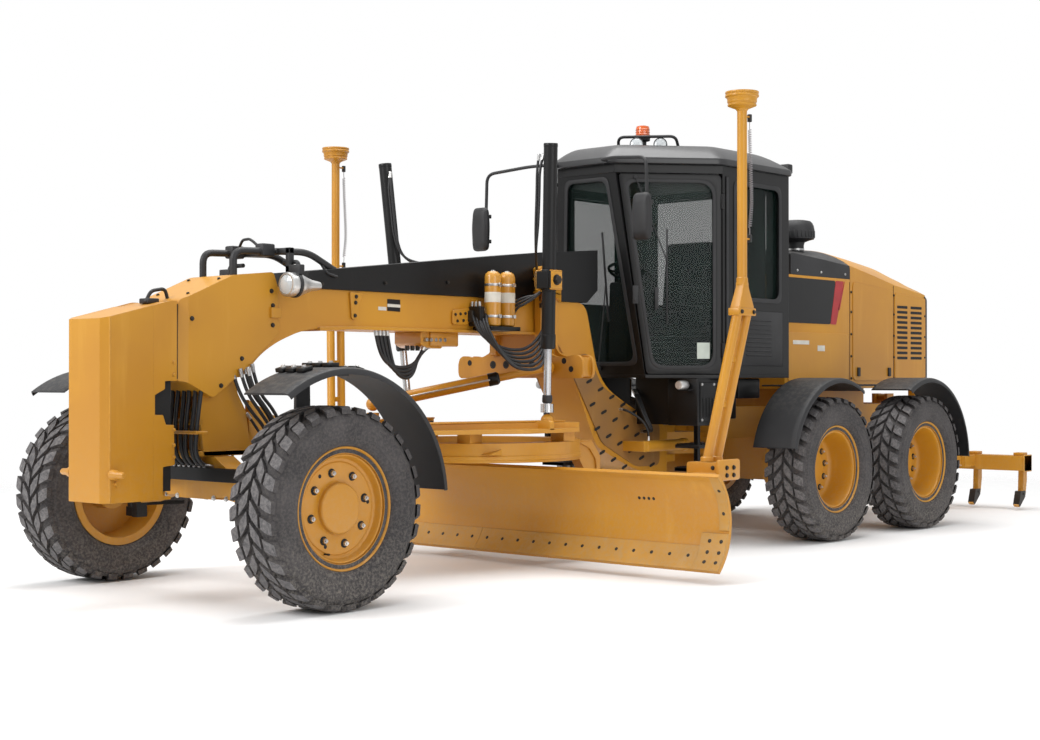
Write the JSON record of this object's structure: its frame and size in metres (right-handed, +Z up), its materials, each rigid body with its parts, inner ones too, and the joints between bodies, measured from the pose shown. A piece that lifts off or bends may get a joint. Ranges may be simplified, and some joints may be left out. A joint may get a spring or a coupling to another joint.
{
  "type": "motor grader",
  "caption": "Articulated motor grader with leaning steered front wheels, a turning circle carrying a curved blade with sensor masts, an enclosed cab, tandem drive and a rear ripper.",
  "frame": {"origin": "on the ground, under the middle of the whole machine's outline", "axes": "+X forward, +Y to the machine's left, +Z up"},
  "size_m": [10.35, 4.268, 3.34],
  "materials": {
    "yellow_paint": "construction-yellow gloss enamel, lightly dusted",
    "black_paint": "satin black enamel",
    "black_plastic": "moulded plastic and powder coat, satin",
    "tyre_rubber": "dusty black tyre rubber",
    "chrome_rod": "polished cylinder rods",
    "cab_glass": "green-tinted flat glass",
    "seat_trim": "dark cab trim",
    "cord_grey": "grey sleeved curly cord"
  },
  "bodies": {
    "front_frame": {"main_frame": "yellow_paint", "beam_cover": "black_paint", "nose_housing": "yellow_paint", "counterweight": "yellow_paint", "lamps_and_mirrors": "black_plastic", "saddle": "yellow_paint", "lift_barrels": "black_paint", "accumulators": "yellow_paint", "front_axle": "yellow_paint", "cab_base": "black_paint", "cab_walls": "black_paint", "cab_glass": "cab_glass", "cab_roof": "black_paint", "operator_station": "seat_trim"},
    "rear_frame": {"rear_frame": "yellow_paint", "tandems": "yellow_paint", "hood": "yellow_paint", "hood_trim": "black_plastic", "rear_fenders": "black_paint"},
    "lean_left": {"lean_yoke_left": "black_paint"},
    "lean_right": {"lean_yoke_right": "black_paint"},
    "lean_bar": {"lean_bar": "black_paint"},
    "steer_left": {"knuckle_left": "black_paint", "front_fender_left": "black_paint"},
    "steer_right": {"knuckle_right": "black_paint", "front_fender_right": "black_paint"},
    "steer_rods": {"steer_rods": "chrome_rod"},
    "drawbar": {"drawbar": "yellow_paint"},
    "lift_rod_left": {"lift_rod_left": "chrome_rod"},
    "lift_rod_right": {"lift_rod_right": "chrome_rod"},
    "centre_shift": {"centre_shift_cylinder": "yellow_paint"},
    "circle": {"circle": "yellow_paint"},
    "blade_carrier": {"blade_carrier": "yellow_paint"},
    "blade": {"moldboard": "yellow_paint", "masts": "yellow_paint", "mast_cord_left": "cord_grey", "mast_cord_right": "cord_grey"},
    "door_left": {"door_left": "black_paint", "door_glass_left": "cab_glass"},
    "door_right": {"door_right": "black_paint", "door_glass_right": "cab_glass"},
    "ripper_links": {"ripper_links": "yellow_paint"},
    "ripper_upper_link": {"ripper_upper_link": "yellow_paint"},
    "ripper_beam": {"ripper_beam": "yellow_paint"},
    "ripper_barrel": {"ripper_barrel": "yellow_paint"},
    "ripper_rod": {"ripper_rod": "chrome_rod"},
    "artic_rod_left": {"artic_rod_left": "chrome_rod"},
    "artic_rod_right": {"artic_rod_right": "chrome_rod"},
    "wheel_front_left": {"rim_front_left": "yellow_paint", "tyre_front_left": "tyre_rubber"},
    "wheel_front_right": {"rim_front_right": "yellow_paint", "tyre_front_right": "tyre_rubber"},
    "wheel_mid_left": {"rim_mid_left": "yellow_paint", "tyre_mid_left": "tyre_rubber"},
    "wheel_mid_right": {"rim_mid_right": "yellow_paint", "tyre_mid_right": "tyre_rubber"},
    "wheel_rear_left": {"rim_rear_left": "yellow_paint", "tyre_rear_left": "tyre_rubber"},
    "wheel_rear_right": {"rim_rear_right": "yellow_paint", "tyre_rear_right": "tyre_rubber"}
  },
  "joints": [
    {"name": "articulation", "type": "hinge", "parent": "front_frame", "child": "rear_frame", "pos_m": [-0.325, 0, 0.79], "axis": [0, 0, -1], "range_deg": [-20, 20]},
    {"name": "lean_left", "type": "hinge", "parent": "front_frame", "child": "lean_left", "pos_m": [4.275, 0.6, 0.585], "axis": [1, 0, 0], "range_deg": [-18, 18]},
    {"name": "lean_right", "type": "hinge", "parent": "front_frame", "child": "lean_right", "pos_m": [4.275, -0.6, 0.585], "axis": [1, 0, 0], "range_deg": [-18, 18]},
    {"name": "lean_bar", "type": "slide", "parent": "front_frame", "child": "lean_bar", "axis": [0, 1, 0], "range_m": [-0.06, 0.06]},
    {"name": "steer_left", "type": "hinge", "parent": "lean_left", "child": "steer_left", "pos_m": [4.275, 0.78, 0.585], "axis": [0, 0, 1], "range_deg": [-47.5, 47.5]},
    {"name": "steer_right", "type": "hinge", "parent": "lean_right", "child": "steer_right", "pos_m": [4.275, -0.78, 0.585], "axis": [0, 0, 1], "range_deg": [-47.5, 47.5]},
    {"name": "steer_rods", "type": "slide", "parent": "front_frame", "child": "steer_rods", "axis": [0, 1, 0], "range_m": [-0.2, 0.2]},
    {"name": "wheel_front_left", "type": "hinge", "parent": "steer_left", "child": "wheel_front_left", "pos_m": [4.275, 1.087, 0.585], "axis": [0, 1, 0], "continuous": true},
    {"name": "wheel_front_right", "type": "hinge", "parent": "steer_right", "child": "wheel_front_right", "pos_m": [4.275, -1.087, 0.585], "axis": [0, 1, 0], "continuous": true},
    {"name": "wheel_mid_left", "type": "hinge", "parent": "rear_frame", "child": "wheel_mid_left", "pos_m": [-1.0865, 1.087, 0.585], "axis": [0, 1, 0], "continuous": true},
    {"name": "wheel_mid_right", "type": "hinge", "parent": "rear_frame", "child": "wheel_mid_right", "pos_m": [-1.0865, -1.087, 0.585], "axis": [0, 1, 0], "continuous": true},
    {"name": "wheel_rear_left", "type": "hinge", "parent": "rear_frame", "child": "wheel_rear_left", "pos_m": [-2.6095, 1.087, 0.585], "axis": [0, 1, 0], "continuous": true},
    {"name": "wheel_rear_right", "type": "hinge", "parent": "rear_frame", "child": "wheel_rear_right", "pos_m": [-2.6095, -1.087, 0.585], "axis": [0, 1, 0], "continuous": true},
    {"name": "drawbar_lift", "type": "hinge", "parent": "front_frame", "child": "drawbar", "pos_m": [3.855, 0, 0.99], "axis": [0, 1, 0], "range_deg": [-22, 9]},
    {"name": "lift_rod_left", "type": "slide", "parent": "front_frame", "child": "lift_rod_left", "axis": [-0.0644, -0.0735, -0.9952], "range_m": [-0.34, 0.8]},
    {"name": "lift_rod_right", "type": "slide", "parent": "front_frame", "child": "lift_rod_right", "axis": [-0.0644, 0.0735, -0.9952], "range_m": [-0.34, 0.8]},
    {"name": "centre_shift", "type": "hinge", "parent": "front_frame", "child": "centre_shift", "pos_m": [1.4653, 0.33, 1.4], "axis": [0.6993, 0.7148, 0], "range_deg": [-20, 45]},
    {"name": "circle_turn", "type": "hinge", "parent": "drawbar", "child": "circle", "pos_m": [1.885, 0, 0.88], "axis": [0, 0, -1], "range_deg": [-43, 43]},
    {"name": "blade_tip", "type": "hinge", "parent": "circle", "child": "blade_carrier", "pos_m": [1.445, 0, 0.3], "axis": [0, 1, 0], "range_deg": [-5, 40]},
    {"name": "blade_side_shift", "type": "slide", "parent": "blade_carrier", "child": "blade", "axis": [0, -1, 0], "range_m": [-0.5, 0.5]},
    {"name": "door_left", "type": "hinge", "parent": "front_frame", "child": "door_left", "pos_m": [-0.025, 0.85, 2.1], "axis": [0, 0, 1], "range_deg": [0, 75]},
    {"name": "door_right", "type": "hinge", "parent": "front_frame", "child": "door_right", "pos_m": [-0.025, -0.85, 2.1], "axis": [0, 0, 1], "range_deg": [-75, 0]},
    {"name": "ripper_lift", "type": "hinge", "parent": "rear_frame", "child": "ripper_links", "pos_m": [-4.105, 0, 0.62], "axis": [0, 1, 0], "range_deg": [-25, 30]},
    {"name": "ripper_beam_level", "type": "hinge", "parent": "ripper_links", "child": "ripper_beam", "pos_m": [-4.81, 0, 0.48], "axis": [0, 1, 0], "range_deg": [-32, 27]},
    {"name": "ripper_upper_link", "type": "hinge", "parent": "rear_frame", "child": "ripper_upper_link", "pos_m": [-4.105, 0, 0.88], "axis": [0, 1, 0], "range_deg": [-27, 32]},
    {"name": "ripper_barrel_swing", "type": "hinge", "parent": "rear_frame", "child": "ripper_barrel", "pos_m": [-4.075, 0, 1.13], "axis": [0, 1, 0], "range_deg": [-20, 22]},
    {"name": "ripper_rod", "type": "slide", "parent": "ripper_barrel", "child": "ripper_rod", "axis": [-0.7723, 0, -0.6353], "range_m": [-0.23, 0.2]},
    {"name": "artic_rod_left", "type": "slide", "parent": "front_frame", "child": "artic_rod_left", "axis": [1, 0, 0], "range_m": [-0.13, 0.13]},
    {"name": "artic_rod_right", "type": "slide", "parent": "front_frame", "child": "artic_rod_right", "axis": [1, 0, 0], "range_m": [-0.13, 0.13]}
  ],
  "couplings": [
    {"joint": "lean_right", "follows": "lean_left", "ratio": 1},
    {"joint": "lean_bar", "follows": "lean_left", "m_per_rad": -0.157},
    {"joint": "steer_right", "follows": "steer_left", "ratio": 1},
    {"joint": "steer_rods", "follows": "steer_left", "m_per_rad": -0.231},
    {"joint": "lift_rod_left", "follows": "drawbar_lift", "m_per_rad": -1.9795},
    {"joint": "lift_rod_right", "follows": "drawbar_lift", "m_per_rad": -1.9795},
    {"joint": "centre_shift", "follows": "drawbar_lift", "ratio": -1.1629},
    {"joint": "ripper_beam_level", "follows": "ripper_lift", "ratio": -1},
    {"joint": "ripper_upper_link", "follows": "ripper_lift", "ratio": 1},
    {"joint": "ripper_barrel_swing", "follows": "ripper_lift", "ratio": 0.575},
    {"joint": "ripper_rod", "follows": "ripper_lift", "m_per_rad": -0.375},
    {"joint": "artic_rod_left", "follows": "articulation", "m_per_rad": 0.36},
    {"joint": "artic_rod_right", "follows": "articulation", "m_per_rad": -0.36}
  ]
}
